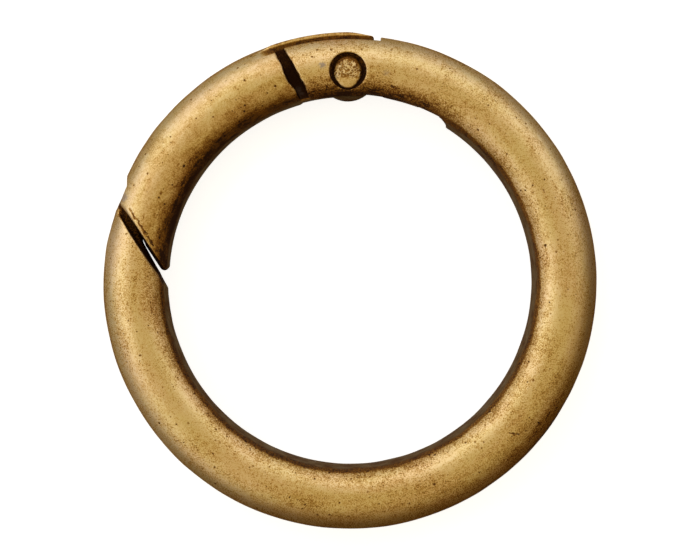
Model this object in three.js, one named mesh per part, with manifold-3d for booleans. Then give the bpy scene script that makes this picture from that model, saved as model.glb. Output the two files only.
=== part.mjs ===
// Spring gate ring: a thick round ring for keys and bags whose upper left arc is a sprung gate.
// Millimetres. The ring lies flat with its axis along +Z, its centre at the origin, the hinge pin at
// +Y and the mouth, where the gate's nose meets the ring, at -X. The gate opens inward, about +Z.

import * as THREE from "three";
import { mergeVertices } from "three/addons/utils/BufferGeometryUtils.js";
import Module from "manifold-3d";

const wasm = await Module();
wasm.setup();

// Ring: 34 mm outside, 25 mm inside.
const RING_RADIUS = 14.75; // to the middle of the round section
const SECTION_RADIUS = 2.25;
const RING_STEPS = 90;
const SECTION_STEPS = 24;

// Gate: its own casting, set a little towards the hinge.
const GATE_SECTION_RADIUS = 2.25;
const GATE_SHIFT = new THREE.Vector2(0.08, 0.2);

// Hinge.
const PIN = new THREE.Vector2(-0.14, 14.5);
const PIN_RADIUS = 0.75;
const EAR_HOLE_RADIUS = 0.78;
const TONGUE_HOLE_RADIUS = 0.8;
const COUNTERBORE_RADIUS = 1.28;
const COUNTERBORE_FLOOR = 1.45; // height of the seat above the middle plane
const HEAD_RADIUS = 1.03;
const HEAD_UNDERSIDE = 1.48;
const HEAD_EDGE = 1.64;
const HEAD_CROWN = 1.78;
// The dome of a head: share of its radius, and how far below the crown.
const HEAD_DOME = [[0, 0], [0.5, 0.02], [0.85, 0.07]];
const DRUM_REACH = 3; // half the height of the hole cutters
const ROUND_STEPS = 40;
const ARC_STEPS = 14; // for each arc of a plate's outline

// Slot between the ears, and the gate's tongue in it.
const EAR_SLOT_WIDTH = 2.0;
const EAR_SLOT_LOW = new THREE.Vector2(-7, 11); // a corner of the slot's cutter, in the eye
const EAR_SLOT_TOP_Y = 19; // past the ring's outside
const EAR_SLOT_END_X = 2.12; // the slot's closed end, beyond the pin
const TONGUE_THICKNESS = 1.86;
const KNUCKLE_RADIUS = 2.04;
const KNUCKLE_END_ANGLE = 236; // where the knuckle runs into the neck's inner edge
const TAIL_END_X = 1.66; // leaves a notch between the tail and the slot's end
const TAIL_CORNER_RADIUS = 0.4;
const NECK_INNER_RADIUS = 12.78;
const NECK_END_ANGLE = 105; // degrees round the ring, where the neck's inner edge meets the shoulder
const ROOT_ANGLE = 112; // well inside the arm
const ROOT_INNER_RADIUS = 13.4;

// Spring and its pocket, along a straight line that falls 7 degrees from the pin to the right.
const SPRING_LINE = planFrame(83);
const SPRING_OFFSET = 13.93; // from the ring's centre to the spring's axis
const SPRING_OUTER_RADIUS = 0.95;
const SPRING_WIRE_RADIUS = 0.16;
const SPRING_TURNS = 8.5;
const SPRING_END_TURNS = 0.75; // closed coils at each end
const CLOSED_PITCH = 2.3 * SPRING_WIRE_RADIUS; // from coil to coil where the ends are closed
const SPRING_STEPS_PER_TURN = 14;
const SPRING_SIDES = 7;
const POCKET_WIDTH = 2.6;
const POCKET_FLOOR = 14.96; // from the ring's centre, across the spring's line
const POCKET_MOUTH = 11; // inside the ring's eye
const POCKET_START = -0.64;
const POCKET_END = 5.25;
const POCKET_CORNER_RADIUS = 0.7;
const POCKET_CORNER_STEPS = 4;
const SPRING_END = 5.13; // along the spring's line, where the coil meets the rounded end
const SEAT_FROM_PIN = 1.55; // the tongue's flat that the spring bears on
const SEAT_TOP = 0.55; // above the pin, across the spring's line
const SEAT_EASE = 0.25; // the tail's end face runs down to the seat's top over this height
const TOUCH_GAP = 0.03;

// Slanted cuts in plan. Each face leans by its draft, so a slit is narrowest at the middle plane.
const HINGE_CUT = planFrame(28);
const EAR_FACE = { offset: 3.45, draft: 0.062 };
const SHOULDER_FACE = { offset: 2.9, draft: -0.044 };
const NOSE_CUT = planFrame(33.4);
const RING_NOSE_FACE = { offset: -10.52, draft: -0.12 };
const GATE_NOSE_FACE = { offset: -10.36, draft: 0.115 };
const CUT_REACH = 2.6; // half the height of the cutters, past the section's top
const HINGE_CUT_OUTER = -20; // along the hinge cut, past the ring's outside
const HINGE_CUT_INNER = -9; // and in the eye
const NOSE_CUT_OUTER = -17; // along the nose cut, past the ring's outside
const EYE_CORNER_X = -11.5; // where the gate's outline turns inside the eye
const RING_CORNER_START = -7.76; // where the ring's tip begins to fall away towards the inside
const RING_CORNER_SLOPE = -0.214;
const RING_CORNER_RUN = 4; // how far the eased face goes, well into the eye
const GATE_TIP_Y = 0.8;

// Catch: a fin on the ring that fills a slot in the gate's nose and stops the gate swinging outward.
const CATCH_LOW = new THREE.Vector2(-14.12, 2.5);
const CATCH_HIGH = new THREE.Vector2(-15.1, 6.2);
const CATCH_GAP = 0.03; // from the catch line to each of the two faces
const FIN_THICKNESS = 1.8;
const FIN_OUTER_RADIUS = 16.8;
const FIN_TIP_ANGLE = 158;
const FIN_ROOT_ANGLE = 163.5;
const FIN_INNER_ROOT_ANGLE = 168.5;
const FIN_ARC_STEPS = 3;
const FIN_ROOT_RADIUS = 15.6; // where the fin's outline ends inside the ring's tip
const NOSE_SLOT_WIDTH = 2.1;
const FIN_REACH = 1.2; // how far the fin goes on below the catch line's low end
const NOSE_SLOT_REACH = { low: 1.5, high: 3 }; // and the slot beyond both ends
const NOSE_SLOT_OUTER_X = -19;

// Colours of the aged brass finish and of the bare steel spring.
const AGED_BRASS = { color: 0xb58d4c, roughness: 0.42, metalness: 1 };
const WORN_BRASS = { color: 0xa8853f, roughness: 0.38, metalness: 1 };
const SPRING_STEEL = { color: 0x8f8a80, roughness: 0.35, metalness: 1 };

// ---- plan geometry ----

// A pair of axes in plan: "across" points at the given angle, "along" a quarter turn clockwise of it.
function planFrame(degrees) {
  const angle = THREE.MathUtils.degToRad(degrees);
  const across = new THREE.Vector2(Math.cos(angle), Math.sin(angle));
  const along = new THREE.Vector2(across.y, -across.x);
  const at = (alongBy, acrossBy) =>
    along.clone().multiplyScalar(alongBy).addScaledVector(across, acrossBy);
  return { across, along, at };
}

function polar(radius, degrees) {
  const angle = THREE.MathUtils.degToRad(degrees);
  return new THREE.Vector2(radius * Math.cos(angle), radius * Math.sin(angle));
}

function faceOffset(face, height) {
  return face.offset + face.draft * height;
}

// ---- solids ----

function solid(geometry) {
  const bare = geometry.clone();
  bare.deleteAttribute("normal");
  bare.deleteAttribute("uv");
  const merged = mergeVertices(bare, 1e-4);
  return new wasm.Manifold(
    new wasm.Mesh({
      numProp: 3,
      vertProperties: merged.attributes.position.array,
      triVerts: new Uint32Array(merged.index.array),
    }),
  );
}

function geometryOf(manifold) {
  const { vertProperties, triVerts } = manifold.getMesh();
  const geometry = new THREE.BufferGeometry();
  geometry.setAttribute("position", new THREE.BufferAttribute(vertProperties, 3));
  geometry.setIndex(new THREE.BufferAttribute(triVerts, 1));
  return geometry.toNonIndexed();
}

function ringOfSection(sectionRadius, shift) {
  const profile = Array.from({ length: SECTION_STEPS + 1 }, (_, i) => {
    const angle = ((i % SECTION_STEPS) / SECTION_STEPS) * 2 * Math.PI;
    return new THREE.Vector2(
      RING_RADIUS + sectionRadius * Math.cos(angle),
      sectionRadius * Math.sin(angle),
    );
  });
  const geometry = new THREE.LatheGeometry(profile, RING_STEPS);
  geometry.rotateX(Math.PI / 2).translate(shift.x, shift.y, 0);
  return solid(geometry);
}

// A flat plate, centred on the middle plane.
function plate(shape, thickness) {
  const geometry = new THREE.ExtrudeGeometry(shape, {
    depth: thickness,
    bevelEnabled: false,
    curveSegments: ARC_STEPS,
  });
  return solid(geometry.translate(0, 0, -thickness / 2));
}

function drum(radius, low, high) {
  const geometry = new THREE.CylinderGeometry(radius, radius, high - low, ROUND_STEPS);
  geometry.rotateX(Math.PI / 2).translate(PIN.x, PIN.y, (low + high) / 2);
  return solid(geometry);
}

// A block whose outline in plan changes evenly from the middle plane up and down to CUT_REACH.
function draftedBlock(outlineAt) {
  const heights = [-CUT_REACH, 0, CUT_REACH];
  const levels = heights.map((z) => outlineAt(Math.abs(z)));
  if (THREE.ShapeUtils.isClockWise(levels[0])) levels.forEach((outline) => outline.reverse());
  const count = levels[0].length;
  const position = levels.flatMap((outline, i) => outline.flatMap((p) => [p.x, p.y, heights[i]]));
  const index = [];
  for (let level = 0; level < heights.length - 1; level++) {
    for (let i = 0; i < count; i++) {
      const a = level * count + i;
      const b = level * count + ((i + 1) % count);
      index.push(a, b, b + count, a, b + count, a + count);
    }
  }
  const top = (heights.length - 1) * count;
  for (const [a, b, c] of THREE.ShapeUtils.triangulateShape(levels[0], [])) {
    index.push(a, c, b, top + a, top + b, top + c);
  }
  const geometry = new THREE.BufferGeometry();
  geometry.setAttribute("position", new THREE.Float32BufferAttribute(position, 3));
  geometry.setIndex(index);
  return solid(geometry);
}

// ---- ring body ----

// The part of the ring that the gate stands in for, with the ring's inside corner eased at the mouth.
function mouthOutline(height) {
  const ear = faceOffset(EAR_FACE, height);
  const nose = faceOffset(RING_NOSE_FACE, height);
  const eased = nose + RING_CORNER_RUN * RING_CORNER_SLOPE;
  return [
    HINGE_CUT.at(HINGE_CUT_OUTER, ear),
    HINGE_CUT.at(HINGE_CUT_INNER, ear),
    NOSE_CUT.at(RING_CORNER_START + RING_CORNER_RUN, eased),
    NOSE_CUT.at(RING_CORNER_START, nose),
    NOSE_CUT.at(NOSE_CUT_OUTER, nose),
  ];
}

function earSlot() {
  const slot = new THREE.Shape([
    EAR_SLOT_LOW,
    new THREE.Vector2(EAR_SLOT_END_X, EAR_SLOT_LOW.y),
    new THREE.Vector2(EAR_SLOT_END_X, EAR_SLOT_TOP_Y),
    new THREE.Vector2(EAR_SLOT_LOW.x, EAR_SLOT_TOP_Y),
  ]);
  return plate(slot, EAR_SLOT_WIDTH);
}

// A slot sunk from the eye side, with rounded corners at its far end.
function springPocket() {
  const half = POCKET_WIDTH / 2;
  const radius = POCKET_CORNER_RADIUS;
  const mouth = new THREE.Shape();
  mouth.moveTo(POCKET_START, -half).lineTo(POCKET_END - radius, -half);
  mouth.absarc(POCKET_END - radius, radius - half, radius, -Math.PI / 2, 0, false);
  mouth.absarc(POCKET_END - radius, half - radius, radius, 0, Math.PI / 2, false);
  mouth.lineTo(POCKET_START, half);
  const depth = POCKET_FLOOR - POCKET_MOUTH;
  const geometry = new THREE.ExtrudeGeometry(mouth, {
    depth,
    bevelEnabled: false,
    curveSegments: POCKET_CORNER_STEPS,
  });
  const floor = SPRING_LINE.at(0, POCKET_FLOOR);
  const { along, across } = SPRING_LINE;
  const basis = new THREE.Matrix4().makeBasis(
    new THREE.Vector3(along.x, along.y, 0),
    new THREE.Vector3(0, 0, 1),
    new THREE.Vector3(-across.x, -across.y, 0),
  );
  return solid(geometry.applyMatrix4(basis.setPosition(floor.x, floor.y, 0)));
}

function catchFin() {
  const line = CATCH_HIGH.clone().sub(CATCH_LOW).normalize();
  const left = new THREE.Vector2(-line.y, line.x).multiplyScalar(CATCH_GAP);
  const low = CATCH_LOW.clone().addScaledVector(line, -FIN_REACH).add(left);
  const high = CATCH_HIGH.clone().add(left);
  const fin = new THREE.Shape();
  fin.moveTo(low.x, low.y).lineTo(high.x, high.y);
  for (let i = 0; i <= FIN_ARC_STEPS; i++) {
    const corner = polar(
      FIN_OUTER_RADIUS,
      FIN_TIP_ANGLE + ((FIN_ROOT_ANGLE - FIN_TIP_ANGLE) * i) / FIN_ARC_STEPS,
    );
    fin.lineTo(corner.x, corner.y);
  }
  const root = polar(FIN_ROOT_RADIUS, FIN_INNER_ROOT_ANGLE);
  fin.lineTo(root.x, root.y);
  return plate(fin, FIN_THICKNESS);
}

function ringBody() {
  let body = ringOfSection(SECTION_RADIUS, new THREE.Vector2());
  body = body.subtract(draftedBlock(mouthOutline)).subtract(earSlot()).subtract(springPocket());
  body = body.subtract(drum(EAR_HOLE_RADIUS, -DRUM_REACH, DRUM_REACH));
  body = body.subtract(drum(COUNTERBORE_RADIUS, COUNTERBORE_FLOOR, DRUM_REACH));
  body = body.subtract(drum(COUNTERBORE_RADIUS, -DRUM_REACH, -COUNTERBORE_FLOOR));
  return body.add(catchFin());
}

// ---- gate ----

function armOutline(height) {
  const shoulder = faceOffset(SHOULDER_FACE, height);
  const nose = faceOffset(GATE_NOSE_FACE, height);
  const tipX = (nose - NOSE_CUT.across.y * GATE_TIP_Y) / NOSE_CUT.across.x;
  return [
    HINGE_CUT.at(HINGE_CUT_OUTER, shoulder),
    HINGE_CUT.at(HINGE_CUT_INNER, shoulder),
    new THREE.Vector2(EYE_CORNER_X, GATE_TIP_Y),
    new THREE.Vector2(tipX, GATE_TIP_Y),
    NOSE_CUT.at(NOSE_CUT_OUTER, nose),
  ];
}

// The tongue in plan: outer arc flush with the gate, tail, flat for the spring, knuckle, neck.
function tongue() {
  const outerRadius = RING_RADIUS + GATE_SECTION_RADIUS;
  const tailTop = GATE_SHIFT.y + Math.sqrt(outerRadius ** 2 - (TAIL_END_X - GATE_SHIFT.x) ** 2);
  const tailAngle = Math.atan2(tailTop - GATE_SHIFT.y, TAIL_END_X - TAIL_CORNER_RADIUS);
  const rootAngle = THREE.MathUtils.degToRad(ROOT_ANGLE);
  const seatAlong = PIN.dot(SPRING_LINE.along) + SEAT_FROM_PIN;
  const pinAcross = PIN.dot(SPRING_LINE.across);
  const seatDrop = Math.sqrt(KNUCKLE_RADIUS ** 2 - SEAT_FROM_PIN ** 2);
  const seatTop = SPRING_LINE.at(seatAlong, pinAcross + SEAT_TOP);
  const seatFoot = SPRING_LINE.at(seatAlong, pinAcross - seatDrop).sub(PIN);
  const neckMeet = THREE.MathUtils.degToRad(KNUCKLE_END_ANGLE);
  const neckEnd = THREE.MathUtils.degToRad(NECK_END_ANGLE);
  const root = polar(ROOT_INNER_RADIUS, ROOT_ANGLE);
  const shape = new THREE.Shape();
  shape.absarc(GATE_SHIFT.x, GATE_SHIFT.y, outerRadius, rootAngle, tailAngle, true);
  shape.quadraticCurveTo(TAIL_END_X, tailTop, TAIL_END_X, tailTop - TAIL_CORNER_RADIUS);
  shape.lineTo(TAIL_END_X, seatTop.y + SEAT_EASE);
  shape.lineTo(seatTop.x, seatTop.y);
  shape.absarc(PIN.x, PIN.y, KNUCKLE_RADIUS, seatFoot.angle(), neckMeet, true);
  const meet = new THREE.Vector2().copy(shape.currentPoint);
  shape.absarc(0, 0, NECK_INNER_RADIUS, meet.angle(), neckEnd, false);
  shape.lineTo(root.x, root.y);
  return plate(shape, TONGUE_THICKNESS);
}

function noseSlot() {
  const line = CATCH_HIGH.clone().sub(CATCH_LOW).normalize();
  const right = new THREE.Vector2(line.y, -line.x).multiplyScalar(CATCH_GAP);
  const low = CATCH_LOW.clone().addScaledVector(line, -NOSE_SLOT_REACH.low).add(right);
  const high = CATCH_HIGH.clone().addScaledVector(line, NOSE_SLOT_REACH.high).add(right);
  const outerHigh = new THREE.Vector2(NOSE_SLOT_OUTER_X, high.y);
  const outerLow = new THREE.Vector2(NOSE_SLOT_OUTER_X, low.y);
  const corners = [low, high, outerHigh, outerLow];
  return plate(new THREE.Shape(corners), NOSE_SLOT_WIDTH);
}

function gate() {
  const arm = ringOfSection(GATE_SECTION_RADIUS, GATE_SHIFT).intersect(draftedBlock(armOutline));
  return arm.subtract(noseSlot()).add(tongue()).subtract(drum(TONGUE_HOLE_RADIUS, -DRUM_REACH, DRUM_REACH));
}

// ---- rivet ----

function rivetGeometry() {
  const half = [
    ...HEAD_DOME.map(([share, drop]) => [share * HEAD_RADIUS, HEAD_CROWN - drop]),
    [HEAD_RADIUS, HEAD_EDGE],
    [HEAD_RADIUS, HEAD_UNDERSIDE],
    [PIN_RADIUS, HEAD_UNDERSIDE],
  ];
  const lower = half.map(([x, y]) => [x, -y]);
  const profile = [...lower, ...half.toReversed()].map(([x, y]) => new THREE.Vector2(x, y));
  return new THREE.LatheGeometry(profile, ROUND_STEPS).rotateX(Math.PI / 2);
}

// ---- spring ----

// A helix along +X from the origin, with closed coils at both ends.
class CoilCurve extends THREE.Curve {
  constructor(length) {
    super();
    this.length = length;
  }

  getPoint(share, target = new THREE.Vector3()) {
    const turn = share * SPRING_TURNS;
    const endRise = SPRING_END_TURNS * CLOSED_PITCH;
    const openTurns = SPRING_TURNS - 2 * SPRING_END_TURNS;
    const openPitch = (this.length - 2 * endRise) / openTurns;
    const open = THREE.MathUtils.clamp(turn - SPRING_END_TURNS, 0, openTurns);
    const closed = turn - open;
    const radius = SPRING_OUTER_RADIUS - SPRING_WIRE_RADIUS;
    const angle = turn * 2 * Math.PI;
    const rise = closed * CLOSED_PITCH + open * openPitch;
    return target.set(rise, radius * Math.cos(angle), radius * Math.sin(angle));
  }
}

function springGeometry(length) {
  const wire = new THREE.Shape().absarc(0, 0, SPRING_WIRE_RADIUS, 0, 2 * Math.PI, false);
  const run = new CoilCurve(length - 2 * SPRING_WIRE_RADIUS);
  const steps = Math.round(SPRING_TURNS * SPRING_STEPS_PER_TURN);
  const options = { steps, extrudePath: run, curveSegments: SPRING_SIDES, bevelEnabled: false };
  return new THREE.ExtrudeGeometry(wire, options).translate(SPRING_WIRE_RADIUS, 0, 0);
}

// ---- assembly ----

function part(name, geometry, look) {
  geometry.computeVertexNormals();
  const mesh = new THREE.Mesh(geometry, new THREE.MeshStandardMaterial(look));
  mesh.name = name;
  return mesh;
}

const assembly = new THREE.Group();
assembly.add(part("ring_body", geometryOf(ringBody()), AGED_BRASS));

// The gate and its rivet stand in a group at the pin, so that turning the gate mesh opens it.
const hinge = new THREE.Group();
hinge.position.set(PIN.x, PIN.y, 0);
hinge.add(part("gate", geometryOf(gate().translate([-PIN.x, -PIN.y, 0])), AGED_BRASS));
hinge.add(part("hinge_rivet", rivetGeometry(), WORN_BRASS));
assembly.add(hinge);

const springStart = PIN.dot(SPRING_LINE.along) + SEAT_FROM_PIN + TOUCH_GAP;
const spring = part(
  "gate_spring",
  springGeometry(SPRING_END - springStart),
  SPRING_STEEL,
);
const springPlace = SPRING_LINE.at(springStart, SPRING_OFFSET);
spring.position.set(springPlace.x, springPlace.y, 0);
spring.rotation.z = SPRING_LINE.along.angle();
assembly.add(spring);

export default assembly;
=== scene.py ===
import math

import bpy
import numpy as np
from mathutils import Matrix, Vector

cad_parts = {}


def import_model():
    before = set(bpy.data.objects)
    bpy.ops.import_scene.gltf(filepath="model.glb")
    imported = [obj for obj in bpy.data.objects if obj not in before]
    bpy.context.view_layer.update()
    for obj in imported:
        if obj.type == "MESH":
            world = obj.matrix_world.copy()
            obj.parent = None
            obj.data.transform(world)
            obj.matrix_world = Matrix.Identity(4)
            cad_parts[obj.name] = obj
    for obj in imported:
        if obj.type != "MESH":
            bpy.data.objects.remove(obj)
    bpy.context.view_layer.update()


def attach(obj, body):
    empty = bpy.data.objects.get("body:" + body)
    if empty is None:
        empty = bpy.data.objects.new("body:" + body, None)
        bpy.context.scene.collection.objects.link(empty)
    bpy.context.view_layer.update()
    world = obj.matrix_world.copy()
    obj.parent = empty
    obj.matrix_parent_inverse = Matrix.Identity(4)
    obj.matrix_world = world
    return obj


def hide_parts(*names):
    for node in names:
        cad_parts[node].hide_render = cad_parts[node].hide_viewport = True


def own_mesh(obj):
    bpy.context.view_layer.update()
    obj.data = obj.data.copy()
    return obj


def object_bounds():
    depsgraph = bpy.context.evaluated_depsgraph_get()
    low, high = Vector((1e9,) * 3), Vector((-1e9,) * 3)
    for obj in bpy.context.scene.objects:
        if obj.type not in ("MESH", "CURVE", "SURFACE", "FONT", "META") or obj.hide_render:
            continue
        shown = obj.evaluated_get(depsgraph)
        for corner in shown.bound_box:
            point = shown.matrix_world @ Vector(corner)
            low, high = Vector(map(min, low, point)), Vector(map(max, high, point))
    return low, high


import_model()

# Spring gate ring in antique brass. Each casting is one closed surface, found as the zero of a
# distance field that repeats the CAD's dimensions with worn, rounded edges and an uneven cast skin.
# Shapes are worked out in millimetres and stored in metres, in the CAD's own frame: the ring's axis
# is +Z, the hinge is at +Y and the mouth at -X.

MM = 0.001

# ---- dimensions, in millimetres ----

RING_RADIUS = 14.75  # to the middle of the round section
SECTION_RADIUS = 2.25
GATE_SECTION_RADIUS = 2.25
GATE_SHIFT = (0.08, 0.2)

PIN = (-0.14, 14.5)
PIN_RADIUS = 0.75
EAR_HOLE_RADIUS = 0.78
TONGUE_HOLE_RADIUS = 0.8
COUNTERBORE_RADIUS = 1.28
COUNTERBORE_FLOOR = 1.45
HEAD_HALF_SIZE = (0.985, 1.12)  # the upset head is a little taller than it is wide
HEAD_CENTRE = (-0.155, 14.45)
HEAD_UNDERSIDE = 1.48
HEAD_CROWN = 1.80
HEAD_DOME = 0.16  # how far the crown falls to the head's edge
HEAD_EDGE_LOW = 1.6  # below this the head's side is dark

EAR_SLOT_HALF = 1.0
EAR_SLOT_END_X = 2.12
EAR_SLOT_LOW_Y = 11.0
TONGUE_HALF = 0.93
TONGUE_RADIUS = RING_RADIUS + GATE_SECTION_RADIUS
TONGUE_FADE = (108.0, 114.0)  # degrees round the ring, where its edge sinks into the arm
TONGUE_FADE_DROP = 0.3
KNUCKLE_RADIUS = 2.04
TAIL_END_X = 1.66
TAIL_CORNER = 0.18
TAIL_EASE = (-0.3, 1.9, 0.22)  # the tongue's rim falls by this much between these x
NECK_INNER_RADIUS = 12.78
SEAT_FROM_PIN = 1.55
SEAT_TOP = 0.55

SPRING_ANGLE = 83.0
SPRING_OFFSET = 13.93
SPRING_OUTER_RADIUS = 0.95
SPRING_WIRE_RADIUS = 0.16
SPRING_TURNS = 8.5
SPRING_END_TURNS = 0.75
SPRING_END = 5.13
TOUCH_GAP = 0.03
POCKET_HALF = 1.3
POCKET_FLOOR = 14.96
POCKET_MOUTH = 11.0
POCKET_START = -0.64
POCKET_END = 5.25
POCKET_CORNER = 0.7

HINGE_CUT_ANGLE = 28.0
EAR_FACE = (3.45, 0.062)  # offset at the middle plane, and lean per millimetre of height
SHOULDER_FACE = (2.9, -0.044)
DENT_AT = (-4.25, 14.0)  # a dent in the shoulder's edge
SHOULDER_DENT_DEPTH = 0.09
NOSE_CUT_ANGLE = 33.4
RING_NOSE_FACE = (-10.54, -0.11)
GATE_NOSE_FACE = (-10.36, 0.115)
RING_CORNER_START = -7.76
RING_CORNER_SLOPE = -0.214
GATE_TIP_Y = 0.8
GATE_SIDE_ANGLE = 140.0  # a plane through the eye that parts the gate's side from the rest
GATE_SIDE_OFFSET = 5.0

CATCH_LOW = (-14.12, 2.5)
CATCH_HIGH = (-15.1, 6.2)
LIP_LOW = (-13.08, 0.717)  # the fin goes on below the catch line as a lip, from here
LIP_HIGH = (-14.2, 2.75)
CATCH_GAP = 0.03
CATCH_BOW = 0.13  # the fin's edge and the slot's floor are rounded across their thickness
FIN_HALF = 0.9
FIN_OUTER_RADIUS = 16.86  # where it leaves the ring, and it falls towards its tip
FIN_OUTER_FALL = 0.12
FIN_FOOT_Y = 4.58
FIN_TIP_Y = 6.15
FIN_ROOT_OFFSET = -11.6
NOSE_SLOT_HALF = 1.05
NECK_START = 1.2  # the tongue starts this far across the hinge cut

# The radii that edges are rounded to, and inner corners filled to.
RING_EDGE = 0.11
GATE_EDGE = 0.12
RING_NOSE_EASE = 0.12  # added on the ring's outside
GATE_NOSE_EASE = (3.0, 0.8, 0.25)  # added to the gate's edge between these y
EAR_SLOT_EDGE = 0.07
POCKET_EDGE = 0.08
COUNTERBORE_EDGE = 0.06
FIN_RIM_EDGE = 0.12
FIN_SIDE_EDGE = 0.08
FIN_FILLET = 0.05
GATE_TIP_EDGE = 0.16
NOSE_SLOT_EDGE = 0.06
TONGUE_EDGE = 0.09
TONGUE_FILLET = 0.08
TRUNK_FILLET = 0.1
HEAD_EDGE = 0.14

# How far worn and cast surfaces stand in and out.
SKIN_DEPTHS = (0.009, 0.005)
SLIT_FACE_DEPTHS = (0.03, 0.018)
EDGE_VARIATION = 0.35
OUTSIDE_WEAR = ((-1.0, 2.0, 0.05), (2.2, 4.6, 0.11))  # from y, to y, and how deep, at the mouth
OUTSIDE = (0.4, 1.0)  # from the crest to the ring's outer edge, in section radii
DENT_RADIUS = 0.9
HAMMER_DEPTHS = (0.012, 0.008)
HEAD_WOBBLE = 0.015

# ---- fields: negative inside, in millimetres ----


def plan_axes(degrees):
    """Unit vectors in plan: one at this angle, and one a quarter turn clockwise of it."""
    angle = math.radians(degrees)
    across = (math.cos(angle), math.sin(angle))
    return across, (across[1], -across[0])


def dot(axis, x, y):
    return axis[0] * x + axis[1] * y


def both(a, b, edge):
    """The region inside both fields, its outer edge rounded to this radius."""
    corner = np.hypot(np.maximum(a + edge, 0), np.maximum(b + edge, 0))
    return np.minimum(np.maximum(a, b), -edge) + corner


def either(a, b, edge):
    """The region inside either field, its inner corner filled to this radius."""
    return -both(-a, -b, edge)


def smooth_step(low, high, value):
    share = np.clip((value - low) / (high - low), 0, 1)
    return share * share * (3 - 2 * share)


def ripple(seed, wavelength, waves=14):
    """A smooth random height of about +-1 with bumps of this size."""
    random = np.random.default_rng(seed)
    direction = random.normal(size=(waves, 3))
    direction /= np.linalg.norm(direction, axis=1)[:, None]
    scale = 2 * math.pi / (wavelength * random.uniform(0.7, 1.5, waves))
    wave = direction * scale[:, None]
    phase = random.uniform(0, 2 * math.pi, waves)

    def height(x, y, z):
        total = 0
        for (kx, ky, kz), start in zip(wave, phase):
            total = total + np.sin(kx * x + ky * y + kz * z + start)
        return total / math.sqrt(waves)

    return height


HINGE_ACROSS, HINGE_ALONG = plan_axes(HINGE_CUT_ANGLE)
NOSE_ACROSS, NOSE_ALONG = plan_axes(NOSE_CUT_ANGLE)
SPRING_ACROSS, SPRING_ALONG = plan_axes(SPRING_ANGLE)
GATE_SIDE, _ = plan_axes(GATE_SIDE_ANGLE)

long_wave = ripple(11, 5.0)
short_wave = ripple(12, 1.6)
edge_wave = ripple(13, 0.9)
nick_wave = ripple(14, 0.4)


def cast_skin(x, y, z):
    """How far the cast and tumbled surface stands off the true round section."""
    return SKIN_DEPTHS[0] * long_wave(x, y, z) + SKIN_DEPTHS[1] * short_wave(x, y, z)


def worn_edge(x, y, z, radius):
    """An edge radius that varies from place to place, as on a tumbled casting."""
    return radius * (1 + EDGE_VARIATION * np.clip(edge_wave(x, y, z), -1, 1))


def worn_face(x, y, z):
    """How far a slit's worn face stands in or out."""
    return SLIT_FACE_DEPTHS[0] * edge_wave(x, y, z) + SLIT_FACE_DEPTHS[1] * nick_wave(x, y, z)


def ring_section(x, y, z):
    return np.hypot(np.hypot(x, y) - RING_RADIUS, z) - SECTION_RADIUS - cast_skin(x, y, z)


def gate_section(x, y, z):
    plan = np.hypot(x - GATE_SHIFT[0], y - GATE_SHIFT[1])
    return np.hypot(plan - RING_RADIUS, z) - GATE_SECTION_RADIUS - cast_skin(x, y, z)


def leaning(face, z):
    offset, lean = face
    return offset + lean * np.abs(z)


def left_of(low, high, x, y):
    """Distance to the left of the line that goes up through these two points."""
    run, rise = high[0] - low[0], high[1] - low[1]
    return (run * (y - low[1]) - rise * (x - low[0])) / math.hypot(run, rise)


def ring_body(x, y, z):
    edge = worn_edge(x, y, z, RING_EDGE)
    ear = leaning(EAR_FACE, z) - dot(HINGE_ACROSS, x, y) + worn_face(x, y, z)
    nose_drop = RING_CORNER_SLOPE * np.maximum(dot(NOSE_ALONG, x, y) - RING_CORNER_START, 0)
    nose = dot(NOSE_ACROSS, x, y) - leaning(RING_NOSE_FACE, z) - nose_drop
    rest = dot(GATE_SIDE, x, y) - GATE_SIDE_OFFSET
    section = ring_section(x, y, z)
    solid = both(section, np.minimum(ear, rest), edge)
    outward = (np.hypot(x, y) - RING_RADIUS) / SECTION_RADIUS
    eased = sum(depth * smooth_step(low, high, y) for low, high, depth in OUTSIDE_WEAR)
    outside = smooth_step(*OUTSIDE, outward)
    eased_section = section + eased * outside
    tip = both(eased_section, nose, edge + RING_NOSE_EASE * outside)
    solid = np.minimum(solid, tip)

    height = np.abs(z)
    slot = np.maximum(height - EAR_SLOT_HALF, np.maximum(x - EAR_SLOT_END_X, EAR_SLOT_LOW_Y - y))
    solid = both(solid, -slot, EAR_SLOT_EDGE)

    along = dot(SPRING_ALONG, x, y)
    across = dot(SPRING_ACROSS, x, y)
    outline = both(height - POCKET_HALF, along - POCKET_END, POCKET_CORNER)
    depth = np.maximum(across - POCKET_FLOOR, POCKET_MOUTH - across)
    pocket = np.maximum(np.maximum(outline, POCKET_START - along), depth)
    solid = both(solid, -pocket, POCKET_EDGE)

    from_pin = np.hypot(x - PIN[0], y - PIN[1])
    solid = np.maximum(solid, EAR_HOLE_RADIUS - from_pin)
    bore = np.maximum(from_pin - COUNTERBORE_RADIUS, COUNTERBORE_FLOOR - height)
    solid = both(solid, -bore, COUNTERBORE_EDGE)

    bow = CATCH_BOW * height**2
    upper = CATCH_GAP + bow - left_of(CATCH_LOW, CATCH_HIGH, x, y)
    lip = CATCH_GAP + bow - left_of(LIP_LOW, LIP_HIGH, x, y)
    fin = np.maximum(np.minimum(upper, lip), y - FIN_TIP_Y)
    fin_outside = np.hypot(x, y) - FIN_OUTER_RADIUS + FIN_OUTER_FALL * (y - FIN_FOOT_Y)
    fin = both(fin, fin_outside, FIN_RIM_EDGE)
    fin = both(fin, height - FIN_HALF, FIN_SIDE_EDGE)
    fin = np.maximum(fin, FIN_ROOT_OFFSET - dot(NOSE_ACROSS, x, y))
    fin = np.maximum(np.maximum(fin, -rest), eased_section)
    return either(solid, fin, FIN_FILLET)


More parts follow.
